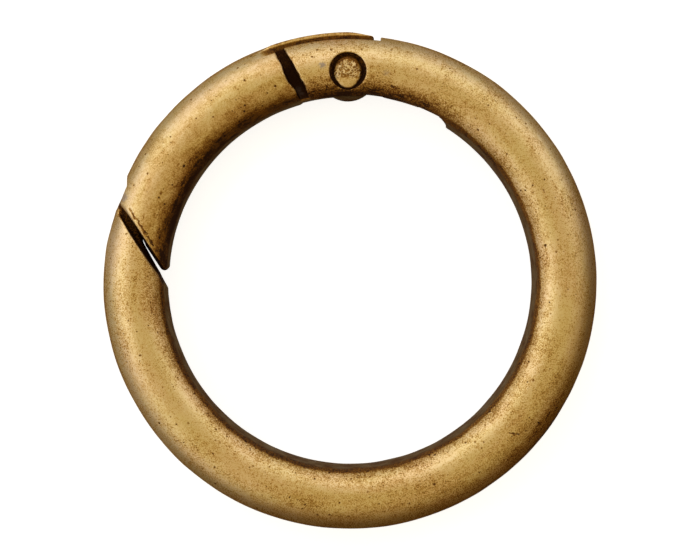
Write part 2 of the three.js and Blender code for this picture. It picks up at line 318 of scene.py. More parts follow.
def gate(x, y, z):
    edge = worn_edge(x, y, z, GATE_EDGE)
    height = np.abs(z)
    from_dent = np.hypot(x - DENT_AT[0], y - DENT_AT[1])
    dent = SHOULDER_DENT_DEPTH * smooth_step(DENT_RADIUS, 0.0, from_dent)
    shoulder = dot(HINGE_ACROSS, x, y) - leaning(SHOULDER_FACE, z) + worn_face(x, y, z) + dent
    nose = leaning(GATE_NOSE_FACE, z) - dot(NOSE_ACROSS, x, y)
    side = GATE_SIDE_OFFSET - dot(GATE_SIDE, x, y)
    ends = np.maximum(shoulder, side)
    tip = both(nose, GATE_TIP_Y - y, GATE_TIP_EDGE)
    ease_from, ease_to, ease = GATE_NOSE_EASE
    edge = edge + ease * smooth_step(ease_from, ease_to, y)
    arm = both(gate_section(x, y, z), np.maximum(ends, tip), edge)
    slot_floor = CATCH_BOW * height**2 - CATCH_GAP - left_of(CATCH_LOW, CATCH_HIGH, x, y)
    slot = np.maximum(height - NOSE_SLOT_HALF, slot_floor)
    arm = both(arm, -slot, NOSE_SLOT_EDGE)

    plan = np.hypot(x - GATE_SHIFT[0], y - GATE_SHIFT[1])
    degrees = np.degrees(np.arctan2(y, x))
    ease_from, ease_to, ease = TAIL_EASE
    outer = plan - TONGUE_RADIUS + ease * smooth_step(ease_from, ease_to, x)
    outer = outer + TONGUE_FADE_DROP * smooth_step(*TONGUE_FADE, degrees)
    from_pin = np.hypot(x - PIN[0], y - PIN[1])
    along = dot(SPRING_ALONG, x - PIN[0], y - PIN[1])
    across = dot(SPRING_ACROSS, x - PIN[0], y - PIN[1])
    tail = np.maximum(both(outer, x - TAIL_END_X, TAIL_CORNER), SEAT_TOP - across)
    trunk = np.maximum(np.maximum(along - SEAT_FROM_PIN, across - SEAT_TOP), outer)
    neck = np.maximum(NECK_INNER_RADIUS - np.hypot(x, y), x - PIN[0])
    low = np.minimum(np.minimum(from_pin - KNUCKLE_RADIUS, neck), -across)
    outline = np.maximum(either(tail, trunk, TRUNK_FILLET), low)
    outline = np.maximum(outline, NECK_START - dot(HINGE_ACROSS, x, y))
    tongue = both(outline, height - TONGUE_HALF, TONGUE_EDGE)
    return np.maximum(either(arm, tongue, TONGUE_FILLET), TONGUE_HOLE_RADIUS - from_pin)


hammer_marks = ripple(21, 0.5)
hammer_dents = ripple(22, 0.24)


def rivet_out(x, y):
    """How far out on the upset head a place is: 0 at its middle, 1 at its edge."""
    wide, tall = HEAD_HALF_SIZE
    return np.hypot((x - HEAD_CENTRE[0]) / wide, (y - HEAD_CENTRE[1]) / tall)


def rivet(x, y, z):
    height = np.abs(z)
    out = rivet_out(x, y)
    marks = HAMMER_DEPTHS[0] * hammer_marks(x, y, z) + HAMMER_DEPTHS[1] * hammer_dents(x, y, z)
    crown = HEAD_CROWN - HEAD_DOME * out**2 + marks
    rim = (out - 1 + HEAD_WOBBLE * long_wave(4 * x, 4 * y, z)) * HEAD_HALF_SIZE[0]
    head = both(rim, height - crown, HEAD_EDGE)
    head = np.maximum(head, HEAD_UNDERSIDE - height)
    shank = np.hypot(x - PIN[0], y - PIN[1]) - PIN_RADIUS
    return np.minimum(head, np.maximum(shank, height - HEAD_UNDERSIDE))


# ---- surfaces from fields ----


def slope_of(field, points, reach=2e-3):
    columns = []
    for axis in range(3):
        step = np.zeros(3)
        step[axis] = reach
        ahead, behind = field(*(points + step).T), field(*(points - step).T)
        columns.append((ahead - behind) / (2 * reach))
    return np.stack(columns, axis=1)


def settle(field, points, steps=4, limit=0.04):
    """Moves points onto the surface, each by at most this much at a time."""
    for _ in range(steps):
        slope = slope_of(field, points)
        square = np.maximum((slope**2).sum(axis=1), 0.05)
        move = slope * (field(*points.T) / square)[:, None]
        length = np.linalg.norm(move, axis=1)
        points = points - move * np.minimum(1, limit / np.maximum(length, 1e-9))[:, None]
    return points


def net(field, axes, place):
    """Points and quads of the field's surface, on a grid whose axes place() turns into x, y, z.

    Each grid cell that the surface crosses holds one point, and each grid edge that it crosses
    joins the four cells round it with a quad.
    """
    values = field(*place(*np.meshgrid(*axes, indexing="ij")))
    inside = values < 0
    cell_shape = [length - 1 for length in values.shape]
    corners = [(i, j, k) for i in (0, 1) for j in (0, 1) for k in (0, 1)]
    count = np.zeros(cell_shape, np.int8)
    for corner in corners:
        window = tuple(slice(c, c + n) for c, n in zip(corner, cell_shape))
        count += inside[window]
    cells = np.argwhere((count > 0) & (count < len(corners)))
    number = np.full(cell_shape, -1)
    number[tuple(cells.T)] = np.arange(len(cells))

    total = np.zeros((len(cells), 3))
    crossings = np.zeros(len(cells))
    for axis in range(3):
        for corner in corners:
            if corner[axis]:
                continue
            start = cells + corner
            end = start + np.eye(3, dtype=int)[axis]
            here, there = values[tuple(start.T)], values[tuple(end.T)]
            crossed = (here < 0) != (there < 0)
            share = np.where(crossed, here / np.where(crossed, here - there, 1), 0)
            point = np.stack([axes[i][start[:, i]] for i in range(3)], axis=1)
            point[:, axis] += share * (axes[axis][end[:, axis]] - axes[axis][start[:, axis]])
            total += point * crossed[:, None]
            crossings += crossed
    points = np.stack(place(*(total / crossings[:, None]).T), axis=1)

    quads = []
    for axis in range(3):
        second, third = (axis + 1) % 3, (axis + 2) % 3
        low = np.take(inside, range(inside.shape[axis] - 1), axis)
        high = np.take(inside, range(1, inside.shape[axis]), axis)
        starts = np.argwhere(low != high)
        leaving = low[tuple(starts.T)]
        loop = []
        for back_second, back_third in ((1, 1), (0, 1), (0, 0), (1, 0)):
            cell = starts.copy()
            cell[:, second] -= back_second
            cell[:, third] -= back_third
            loop.append(number[tuple(cell.T)])
        loop = np.stack(loop, axis=1)
        quads.append(np.where(leaving[:, None], loop, loop[:, ::-1]))
    return points, np.concatenate(quads)


def round_the_ring(radius, angle, height):
    return radius * np.cos(angle), radius * np.sin(angle), height


def spaced(*spans):
    """One grid axis from (start, end, step) spans that follow on from each other."""
    parts = [np.linspace(a, b, math.ceil((b - a) / step), endpoint=False) for a, b, step in spans]
    return np.append(np.concatenate(parts), spans[-1][1])


def mesh_object(name, points, faces):
    """A smooth-shaded mesh in the scene, from points in millimetres and lists of their numbers."""
    mesh = bpy.data.meshes.new(name)
    mesh.from_pydata((points * MM).tolist(), [], faces)
    mesh.update()
    mesh.shade_smooth()
    piece = bpy.data.objects.new(name, mesh)
    bpy.context.scene.collection.objects.link(piece)
    return piece


def paint(piece, layer, values):
    attribute = piece.data.attributes.new(layer, "FLOAT", "POINT")
    attribute.data.foreach_set("value", np.asarray(values, np.float32))


def stored_values(piece, layer):
    values = np.zeros(len(piece.data.vertices), np.float32)
    piece.data.attributes[layer].data.foreach_get("value", values)
    return values


def stored_points(piece):
    """The piece's points as x, y and z rows, in millimetres."""
    flat = np.zeros(3 * len(piece.data.vertices), np.float32)
    piece.data.vertices.foreach_get("co", flat)
    return flat.reshape(-1, 3).T / MM


def paint_over(piece, layer, values):
    """Raises a layer to these values where they are higher."""
    raised = np.maximum(stored_values(piece, layer), values).astype(np.float32)
    piece.data.attributes[layer].data.foreach_set("value", raised)


# ---- pieces ----

GRID_RADII = (12.2, 17.5)  # the grid that the castings are found on
GRID_HALF_HEIGHT = 2.42
RING_CELL = 0.095
GATE_CELL = 0.078
RIVET_CELL = 0.045
RIVET_GRID_HALF = (1.2, 1.2, 2.0)
FINE = 0.37  # degrees, about 0.095 mm along the ring
COARSE = 1.3
GATE_STEP = 0.31
RECESS_DEPTHS = (0.02, 0.32)
SWEEP_SHORTENING = 0.3
TUBE_SIDES = 12
GATE_CALM = 0.42  # the share of the ring's fine grain that the gate lacks


def casting(name, field, section, centre, cell, angles):
    """A casting's surface, with the layers that its finish reads.

    The depth layer rises from 0 on the round skin to 1 well below it; it darkens the hollows with
    patina and painted shade, and painted shade is also raised into it elsewhere. "side" runs from 0
    on the crest to 1 at the inner edge, and to -1 at the outer one. "sweep" is a place on the skin
    in millimetres, with the way round the ring shortened, so that noise read there is drawn out
    along the ring.
    """
    radii = spaced((*GRID_RADII, cell))
    heights = spaced((-GRID_HALF_HEIGHT, GRID_HALF_HEIGHT, cell))
    points, quads = net(field, (radii, angles, heights), round_the_ring)
    points = settle(field, points)
    piece = mesh_object(name, points, quads.tolist())
    x, y, z = points.T
    plan = np.hypot(x - centre[0], y - centre[1])
    paint(piece, "recess_and_shade", smooth_step(*RECESS_DEPTHS, -section(x, y, z)))
    paint(piece, "side", (RING_RADIUS - plan) / SECTION_RADIUS)
    turn = np.arctan2(y, x)
    turn = np.where(turn > angles[-1], turn - 2 * math.pi, turn)
    sweep = np.stack([turn * RING_RADIUS * SWEEP_SHORTENING, plan - RING_RADIUS, z], axis=1)
    layer = piece.data.attributes.new("sweep", "FLOAT_VECTOR", "POINT")
    layer.data.foreach_set("vector", sweep.astype(np.float32).ravel())
    return piece


def degrees_axis(*spans):
    return np.radians(spaced(*spans))


def swept_tube(name, path, radius, sides):
    """A closed tube along a path of points, with flat ends."""
    ahead = np.gradient(path, axis=0)
    ahead /= np.linalg.norm(ahead, axis=1)[:, None]
    up = np.tile((0.0, 0.0, 1.0), (len(path), 1))
    across = np.cross(ahead, up)
    across /= np.linalg.norm(across, axis=1)[:, None]
    up = np.cross(across, ahead)
    turn = np.linspace(0, 2 * math.pi, sides, endpoint=False)
    ring = across[:, None] * np.cos(turn)[:, None] + up[:, None] * np.sin(turn)[:, None]
    points = (path[:, None] + radius * ring).reshape(-1, 3)
    faces = []
    for row in range(len(path) - 1):
        for i in range(sides):
            j = (i + 1) % sides
            a, b = row * sides + i, row * sides + j
            faces.append((a, a + sides, b + sides, b))
    caps = [tuple(range(sides)), tuple(range(len(points) - 1, len(points) - 1 - sides, -1))]
    return mesh_object(name, points, faces + caps)


def coil_path(length, steps_per_turn=40):
    """A helix along +X with closed coils at both ends, as distances along, across and up."""
    wire = SPRING_WIRE_RADIUS
    end_pitch = 2.15 * wire
    end_rise = SPRING_END_TURNS * end_pitch
    open_turns = SPRING_TURNS - 2 * SPRING_END_TURNS
    open_pitch = (length - 2 * wire - 2 * end_rise) / open_turns
    turn = np.linspace(0, SPRING_TURNS, round(SPRING_TURNS * steps_per_turn))
    opened = np.clip(turn - SPRING_END_TURNS, 0, open_turns)
    rise = wire + (turn - opened) * end_pitch + opened * open_pitch
    radius = SPRING_OUTER_RADIUS - wire
    return rise, radius * np.cos(2 * math.pi * turn), radius * np.sin(2 * math.pi * turn)


def gate_spring():
    """The coil, and the point in metres that its far end stays at when it is squashed."""
    start = dot(SPRING_ALONG, *PIN) + SEAT_FROM_PIN + TOUCH_GAP
    rise, across, up = coil_path(SPRING_END - start)
    along, outward = np.array(SPRING_ALONG), np.array(SPRING_ACROSS)
    plan = (start + rise)[:, None] * along + (SPRING_OFFSET + across)[:, None] * outward
    path = np.column_stack([plan, up])
    piece = swept_tube("gate_spring_coil", path, SPRING_WIRE_RADIUS, TUBE_SIDES)
    fixed = SPRING_END * along + SPRING_OFFSET * outward
    return piece, (fixed[0] * MM, fixed[1] * MM, 0.0)


# Patina darkens the finish, and at the lower right of the ring painted shade does too. Angles are
# in degrees round the ring, which run from -180 to 180, and side is the layer of that name.


def gate_inner_darkening(side, degrees):
    """Dark on the inner half of the arm, and more so towards the nose."""
    to_nose = smooth_step(118, 150, degrees)
    inner_half = (0.30 + 0.26 * to_nose) * smooth_step(-0.30, 0.35, side)
    return inner_half + 0.56 * smooth_step(0.48 - 0.12 * to_nose, 0.84, side)


def ring_patina_and_shade(side, degrees, from_pin):
    """Dark by the hinge and inside the left arm, and polished below the left. Painted shade darkens
    the outer half and the rim at the lower right.
    """
    by_hinge = smooth_step(11.0, 4.0, from_pin) * smooth_step(0.0, 0.8, side)

    # Painted shade: the outer half and the outer rim at the lower right, facing away from the
    # lights.
    shaded_lower_right = smooth_step(-125, -95, degrees) * smooth_step(-12, -35, degrees)
    shaded_right_below = smooth_step(-80, -35, degrees) * smooth_step(-8, -28, degrees)
    warm = 0.21 * shaded_lower_right * smooth_step(0.20, -0.15, side)
    rim_start = -0.68 + 0.24 * shaded_right_below
    rim = (0.35 + 0.45 * shaded_right_below) * shaded_lower_right * smooth_step(rim_start, rim_start - 0.24, side)

    from_left = np.abs(np.abs(degrees) - 180)
    warm = warm + 0.18 * smooth_step(15, 5, from_left) * smooth_step(0.1, 0.45, side)

    left_below = smooth_step(-175, -150, degrees) * smooth_step(-80, -120, degrees)
    eye_edge = 0.35 * left_below * smooth_step(0.52, 0.80, side)
    rubbed = smooth_step(-178, -160, degrees) * smooth_step(-110, -140, degrees)
    polish = 0.18 * rubbed * smooth_step(-0.15, 0.05, side) * smooth_step(0.55, 0.3, side)
    return np.maximum.reduce([by_hinge, rim, warm, eye_edge]) - polish


def fin_shade(x, y, degrees):
    """Painted shade on the fin where it stands beyond the ring's nose, but for its outer edge."""
    past_nose = dot(NOSE_ACROSS, x, y) - RING_NOSE_FACE[0]
    shade = smooth_step(-0.05, 0.1, past_nose) * smooth_step(16.84, 16.70, np.hypot(x, y))
    return shade * (dot(GATE_SIDE, x, y) > GATE_SIDE_OFFSET) * (degrees > 120)


def tongue_shade(plan, degrees):
    """Painted shade on the tongue's rim beside the ears, which stays bright at its edge, and on its
    knuckle.
    """
    beside_ears = smooth_step(17.04, 16.92, plan) * smooth_step(113, 108, degrees)
    beside_ears = beside_ears * smooth_step(16.5, 16.6, plan)
    knuckle = smooth_step(13.0, 12.85, plan) * (degrees < 100)
    knuckle = knuckle * (0.5 + 0.4 * smooth_step(12.62, 12.35, plan))
    return np.maximum(0.80 * beside_ears, knuckle)


ring_piece = casting(
    "ring_casting", ring_body, ring_section, (0, 0), RING_CELL,
    degrees_axis((-206, -172, FINE), (-172, 52, COARSE), (52, 126, FINE)),
)
ring_x, ring_y, _ = stored_points(ring_piece)
ring_side = stored_values(ring_piece, "side")
ring_degrees = np.degrees(np.arctan2(ring_y, ring_x))
from_hinge = np.hypot(ring_x - PIN[0], ring_y - PIN[1])
paint(ring_piece, "patina_and_shade", ring_patina_and_shade(ring_side, ring_degrees, from_hinge))
paint(ring_piece, "calm", np.zeros(len(ring_x)))
# Painted shade on the fin in the gap beyond the ring's nose.
paint_over(ring_piece, "recess_and_shade", fin_shade(ring_x, ring_y, ring_degrees))

gate_piece = casting(
    "gate_casting", gate, gate_section, GATE_SHIFT, GATE_CELL, degrees_axis((80, 184, GATE_STEP))
)
gate_x, gate_y, _ = stored_points(gate_piece)
gate_side = stored_values(gate_piece, "side")
gate_degrees = np.degrees(np.arctan2(gate_y, gate_x))
paint(gate_piece, "patina_and_shade", gate_inner_darkening(gate_side, gate_degrees))
paint(gate_piece, "calm", np.full(len(gate_x), GATE_CALM))
# Painted shade on the tongue beside the ears and on its knuckle.
paint_over(gate_piece, "recess_and_shade", tongue_shade(np.hypot(gate_x, gate_y), gate_degrees))

rivet_axes = [
    spaced((middle - half, middle + half, RIVET_CELL))
    for middle, half in zip((*PIN, 0.0), RIVET_GRID_HALF)
]
rivet_points, rivet_quads = net(rivet, rivet_axes, lambda x, y, z: (x, y, z))
rivet_points = settle(rivet, rivet_points, limit=0.02)
rivet_piece = mesh_object("rivet_upset", rivet_points, rivet_quads.tolist())
rivet_x, rivet_y, rivet_z = rivet_points.T
above_middle = rivet_y - HEAD_CENTRE[1]
# Painted shade on the head's side in the counterbore, and a painted shadow of the bore's rim on the
# head's upper part, which is also kept calm.
below_crown = smooth_step(HEAD_EDGE_LOW, HEAD_EDGE_LOW - 0.08, np.abs(rivet_z))
rim_shade = smooth_step(0.68, 0.80, rivet_out(rivet_x, rivet_y))
rim_shade = rim_shade * smooth_step(-0.2, 0.9, above_middle)
paint(rivet_piece, "recess_and_shade", np.maximum(below_crown, 0.72 * rim_shade))
low_side = smooth_step(-0.30, -0.62, above_middle)
paint(rivet_piece, "calm", np.maximum(low_side, rim_shade))

spring_piece, spring_anchor = gate_spring()

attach(ring_piece, "ring")
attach(rivet_piece, "ring")
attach(spring_piece, "ring")
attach(gate_piece, "gate")
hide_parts("ring_body")
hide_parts("hinge_rivet")
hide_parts("gate_spring")
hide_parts("gate")
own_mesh(spring_piece)

# ---- materials ----


class Nodes:
    """Short names for the shader nodes that the finishes are made of."""

    def __init__(self, name):
        self.material = bpy.data.materials.new(name)
        self.material.use_nodes = True
        self.tree = self.material.node_tree
        self.shader = self.tree.nodes["Principled BSDF"]
        coordinates = self.tree.nodes.new("ShaderNodeTexCoord")
        self.place = self.vector("SCALE", coordinates.outputs["Object"], scale=1 / MM)

    def put(self, socket, value):
        if isinstance(value, bpy.types.NodeSocket):
            self.tree.links.new(value, socket)
        else:
            socket.default_value = value

    def math(self, operation, a, b=0.0, clamp=False):
        node = self.tree.nodes.new("ShaderNodeMath")
        node.operation = operation
        node.use_clamp = clamp
        self.put(node.inputs[0], a)
        self.put(node.inputs[1], b)
        return node.outputs[0]

    def add(self, first, *others):
        for other in others:
            first = self.math("ADD", first, other)
        return first

    def minus(self, a, b):
        return self.math("SUBTRACT", a, b)

    def times(self, a, b):
        return self.math("MULTIPLY", a, b)

    def vector(self, operation, a, b=None, scale=None):
        node = self.tree.nodes.new("ShaderNodeVectorMath")
        node.operation = operation
        self.put(node.inputs[0], a)
        if b is not None:
            self.put(node.inputs[1], b)
        if scale is not None:
            self.put(node.inputs["Scale"], scale)
        return node.outputs["Value" if operation in ("DOT_PRODUCT", "DISTANCE") else "Vector"]

    def noise(self, size, detail=3.0, rough=0.5, shift=0.0, along=None):
        """Noise with features of this size in millimetres, from 0 to 1 about 0.5."""
        node = self.tree.nodes.new("ShaderNodeTexNoise")
        place = self.place if along is None else self.layer(along, "Vector")
        moved = self.vector("ADD", place, (shift, shift, shift))
        self.put(node.inputs["Vector"], moved)
        self.put(node.inputs["Scale"], 1 / size)
        self.put(node.inputs["Detail"], detail)
        self.put(node.inputs["Roughness"], rough)
        return node.outputs["Fac"]

    def cells(self, size):
        """Distance to the nearest of scattered points, and a random shade for each point."""
        node = self.tree.nodes.new("ShaderNodeTexVoronoi")
        self.put(node.inputs["Vector"], self.place)
        self.put(node.inputs["Scale"], 1 / size)
        return node.outputs["Distance"], node.outputs["Color"]

    def dots(self, size, shade_low, dot_radius, softness):
        """Dark dots of random sizes, up to this radius, at some of the scattered points."""
        distance, shade = self.cells(size)
        reach = self.span(shade, shade_low, 1.0, 0.0, dot_radius, smooth=False)
        return self.span(self.minus(reach, distance), 0.0, softness)

    def span(self, value, low, high, to_low=0.0, to_high=1.0, smooth=True):
        node = self.tree.nodes.new("ShaderNodeMapRange")
        node.interpolation_type = "SMOOTHSTEP" if smooth else "LINEAR"
        for socket, number in zip(node.inputs[:5], (value, low, high, to_low, to_high)):
            self.put(socket, number)
        return node.outputs[0]

    def layer(self, name, output="Fac"):
        node = self.tree.nodes.new("ShaderNodeAttribute")
        node.attribute_name = name
        return node.outputs[output]

    def ramp(self, value, stops):
        node = self.tree.nodes.new("ShaderNodeValToRGB")
        self.put(node.inputs[0], value)
        elements = node.color_ramp.elements
        while len(elements) < len(stops):
            elements.new(0.5)
        for element, (at, colour) in zip(elements, stops):
            element.position = at
            element.color = (*colour, 1)
        return node.outputs["Color"]

    def metal(self, rough, tone):
        """Settings that the brass finishes share."""
        inputs = self.shader.inputs
        self.put(inputs["Specular Tint"], (*METAL_AT_GRAZING, 1))
        self.put(inputs["Metallic"], self.span(tone, *METALLIC_SPAN))
        self.put(inputs["Roughness"], rough)
        self.put(inputs["Coat Roughness"], COAT_ROUGHNESS)

    def blend(self, share, a, b, mode="MIX"):
        node = self.tree.nodes.new("ShaderNodeMix")
        node.data_type = "RGBA"
        node.blend_type = mode
        self.put(node.inputs["Factor"], share)
        self.put(node.inputs[6], a)
        self.put(node.inputs[7], b)
        return node.outputs[2]

    def bump(self, height, depth):
        """Relief of this depth, in millimetres, for a height from 0 to 1."""
        node = self.tree.nodes.new("ShaderNodeBump")
        self.put(node.inputs["Distance"], depth * MM)
        self.put(node.inputs["Height"], height)
        self.tree.links.new(node.outputs["Normal"], self.shader.inputs["Normal"])


POLISHED = (0.90, 0.675, 0.345)
GOLDEN = (0.76, 0.515, 0.20)
OCHRE = (0.53, 0.295, 0.072)
BROWN = (0.25, 0.098, 0.011)
BLACKENED = (0.024, 0.0045, 0.002)
ZINC = (0.36, 0.30, 0.29)
PINKISH = (1.0, 0.975, 0.985)  # two tints that the colour drifts between
OLIVE = (0.98, 1.0, 0.90)
METAL_AT_GRAZING = (0.92, 0.66, 0.32)
METALLIC_SPAN = (0.5, 1.0, 1.0, 0.6)  # from tone, to tone, and how metallic at each
COAT_WEIGHT = 0.12
COAT_ROUGHNESS = 0.35
GRAIN_SIZE = 0.09  # of the finest grain, in millimetres

# Tone runs from polished at 0 to blackened at 1. This is where the open skin starts, and then how
# much each layer adds where it is strongest: layers of the finish, painted shade, and a painted
# glint that lightens.
SKIN_TONE = 0.13
STAIN_TONE = 0.30
PIT_TONE = 0.50
SPECK_SHARE = 0.55  # specks are this much as dark as pits
INNER_TONE = 0.05
NEAR_EYE_TONE = 0.16
RIM_TONE = 0.26
# Patina, with painted shade at the lower right of the ring.
PATINA_AND_SHADE_TONE = 0.45
# A painted highlight along the edges of recesses.
CORNER_GLINT_TONE = -0.22
# Recesses: partly patina in the hollows, partly painted shade, with more painted shade in the
# layer.
RECESS_AND_SHADE_TONE = 0.85

# The dull inner edge: reddish brown, olive grey and paler grey.
DULL_STOPS = (
    (0.36, (0.085, 0.028, 0.005)), (0.50, (0.145, 0.090, 0.036)), (0.66, (0.20, 0.135, 0.068))
)
STEEL_STOPS = ((0.25, (0.50, 0.48, 0.45)), (0.55, (0.30, 0.27, 0.24)), (0.9, (0.09, 0.07, 0.05)))
BRASS_STOPS = ((0.0, POLISHED), (0.26, GOLDEN), (0.46, OCHRE), (0.70, BROWN), (1.0, BLACKENED))

# Bare zinc shows through at a few places on the top: x, y, radius in millimetres, and how much.
ZINC_SPOTS = (
    (-1.86, 14.88, 0.16, 0.8),
    (2.51, 14.33, 0.14, 0.35),
    (-15.56, 5.80, 0.22, 0.5),
    (-3.52, 13.25, 0.12, 0.09),
    (-3.38, 12.95, 0.12, 0.09),
)
# Scratches on the top: x and y of both ends, half the width, and how dark.
SCRATCHES = (
    ((-15.15, 5.10), (-13.45, 2.45), 0.05, 1.0),
    ((10.86, -10.33), (11.72, -10.43), 0.03, 1.0),
    ((11.98, -10.22), (12.20, -10.24), 0.04, 1.0),
    ((13.12, 6.52), (13.42, 6.10), 0.03, 0.8),
    ((-14.60, 0.75), (-14.82, -1.40), 0.07, 0.3),
)


def upper_side(nodes):
    split = nodes.tree.nodes.new("ShaderNodeSeparateXYZ")
    nodes.put(split.inputs[0], nodes.place)
    return nodes.span(split.outputs["Z"], 0.6, 0.9)


def worn_spots(nodes):
    """How bare each place is: 0 except on the bare spots on the upper side."""
    ragged = nodes.span(nodes.noise(0.16, detail=3.0, shift=31.0), 0.3, 0.7, -0.09, 0.09)
    flat = nodes.vector("MULTIPLY", nodes.place, (1.0, 1.0, 0.0))
    total = 0.0
    for x, y, radius, strength in ZINC_SPOTS:
        away = nodes.add(nodes.vector("DISTANCE", flat, (x, y, 0.0)), ragged)
        total = nodes.add(nodes.span(away, radius + 0.18, radius - 0.12, 0.0, strength), total)
    return nodes.times(total, upper_side(nodes))


def scratched(nodes):
    """How dark each place is along the broken scratches on the upper side, and 0 elsewhere."""
    wander = nodes.span(nodes.noise(0.5, detail=2.0, shift=41.0), 0.3, 0.7, -0.06, 0.06)
    broken = nodes.span(nodes.noise(0.3, detail=2.0, shift=47.0), 0.36, 0.46)
    total = 0.0
    for start, end, half_width, strength in SCRATCHES:
        length = math.dist(start, end)
        ahead = ((end[0] - start[0]) / length, (end[1] - start[1]) / length, 0.0)
        aside = (-ahead[1], ahead[0], 0.0)
        from_start = nodes.vector("SUBTRACT", nodes.place, (*start, 0.0))
        across = nodes.add(nodes.vector("DOT_PRODUCT", from_start, aside), wander)
        along = nodes.vector("DOT_PRODUCT", from_start, ahead)
        line = nodes.span(nodes.math("ABSOLUTE", across), 2 * half_width, half_width, 0.0, strength)
        line = nodes.times(line, nodes.span(along, -0.05, 0.1))
        line = nodes.times(line, nodes.span(along, length + 0.05, length - 0.1))
        total = nodes.add(total, line)
    return nodes.times(nodes.times(total, broken), upper_side(nodes))


def uneven_finish(nodes, mottle, grain, pit, stain_from):
    """How the finish varies about its tone: clouds, streaks, mottle, grain, stains and pits."""
    cloud = nodes.noise(2.6, detail=2.0)
    streak = nodes.noise(0.8, detail=3.0, rough=0.55, shift=7.0, along="sweep")
    stain_noise = nodes.noise(0.34, detail=5.0, rough=0.7, shift=13.0, along="sweep")
    broad = nodes.add(
        nodes.span(cloud, 0.32, 0.68, -0.05, 0.11, smooth=False),
        nodes.span(streak, 0.3, 0.7, -0.14, 0.14, smooth=False),
        nodes.span(mottle, 0.3, 0.7, -0.10, 0.11, smooth=False),
    )
    _, speckle = nodes.cells(0.075)
    fine = nodes.add(
        nodes.span(grain, 0.3, 0.7, -0.34, 0.36, smooth=False),
        nodes.span(speckle, 0.2, 0.8, -0.10, 0.10, smooth=False),
    )
    fine = nodes.times(fine, nodes.minus(1.0, nodes.layer("calm")))
    stain_low = nodes.span(stain_from, 0.0, 1.0, 0.66, 0.48, smooth=False)
    stain = nodes.span(nodes.minus(stain_noise, stain_low), 0.0, 0.10)
    return nodes.add(broad, fine, nodes.times(stain, STAIN_TONE), nodes.times(pit, PIT_TONE))


def aged_brass(name):
    nodes = Nodes(name)
    recess_and_shade = nodes.layer("recess_and_shade")
    side = nodes.layer("side")
    patina_and_shade = nodes.layer("patina_and_shade")
    mottle = nodes.noise(0.45, detail=2.0, rough=0.6, shift=9.0)
    grain = nodes.noise(GRAIN_SIZE, detail=2.0, rough=0.65, shift=3.0)
    wander = nodes.span(nodes.noise(1.2, shift=17.0, along="sweep"), 0.3, 0.7, -0.025, 0.025)
    pit = nodes.dots(0.42, 0.35, 0.30, 0.08)
    speck = nodes.dots(0.2, 0.3, 0.34, 0.1)
    pit = nodes.math("MAXIMUM", pit, nodes.times(speck, SPECK_SHARE))
    pit = nodes.math("MAXIMUM", pit, scratched(nodes))

    # Darker towards the eye, with a band near the inner edge and a line at the outer edge, and
    # paler towards the crest.
    edge = nodes.add(side, wander)
    inner = nodes.span(side, 0.05, 0.95)
    near_eye = nodes.span(edge, 0.30, 0.78)
    brim = nodes.span(edge, 0.69, 0.79)
    rim = nodes.span(side, -0.89, -0.985)
    stain_from = nodes.math("MAXIMUM", nodes.times(inner, 0.55), patina_and_shade)
    uneven = uneven_finish(nodes, mottle, grain, pit, stain_from)
    even = nodes.span(nodes.math("MAXIMUM", recess_and_shade, brim), 0.0, 1.0, 1.0, 0.55, smooth=False)
    # Painted highlight: a thin pale line along the edges of recesses.
    corner = nodes.minus(nodes.span(recess_and_shade, 0.0, 0.06), nodes.span(recess_and_shade, 0.10, 0.30))
    tone = nodes.add(
        nodes.times(uneven, even),
        SKIN_TONE,
        nodes.times(inner, INNER_TONE),
        nodes.times(near_eye, NEAR_EYE_TONE),
        nodes.times(brim, nodes.span(patina_and_shade, 0.0, 1.0, 0.46, 0.12)),
        nodes.times(rim, RIM_TONE),
        nodes.times(patina_and_shade, PATINA_AND_SHADE_TONE),
        nodes.times(corner, CORNER_GLINT_TONE),
    )
    tone = nodes.math("ADD", tone, nodes.times(recess_and_shade, RECESS_AND_SHADE_TONE), clamp=True)

    colour = nodes.ramp(tone, BRASS_STOPS)
    tint_noise = nodes.noise(1.3, detail=2.0, shift=23.0, along="sweep")
    tint = nodes.ramp(tint_noise, ((0.36, PINKISH), (0.64, OLIVE)))
    colour = nodes.blend(1.0, colour, tint, "MULTIPLY")
    open_skin = nodes.minus(1.0, recess_and_shade)
    thinned = nodes.minus(edge, nodes.times(patina_and_shade, 0.07))
    dull = nodes.times(nodes.span(thinned, 0.825, 0.885), 0.88)
    blotch = nodes.noise(0.36, detail=4.0, rough=0.7, shift=29.0, along="sweep")
    colour = nodes.blend(nodes.times(dull, open_skin), colour, nodes.ramp(blotch, DULL_STOPS))
    colour = nodes.blend(worn_spots(nodes), colour, (*ZINC, 1))
    nodes.put(nodes.shader.inputs["Base Color"], colour)
    nodes.metal(nodes.span(tone, 0.0, 1.0, 0.36, 0.66, smooth=False), tone)
    nodes.put(nodes.shader.inputs["Coat Weight"], nodes.times(open_skin, COAT_WEIGHT))

    height = nodes.add(nodes.times(grain, -0.6), nodes.times(mottle, 0.5), nodes.times(pit, -0.8))
    nodes.bump(height, 0.03)
    return nodes.material


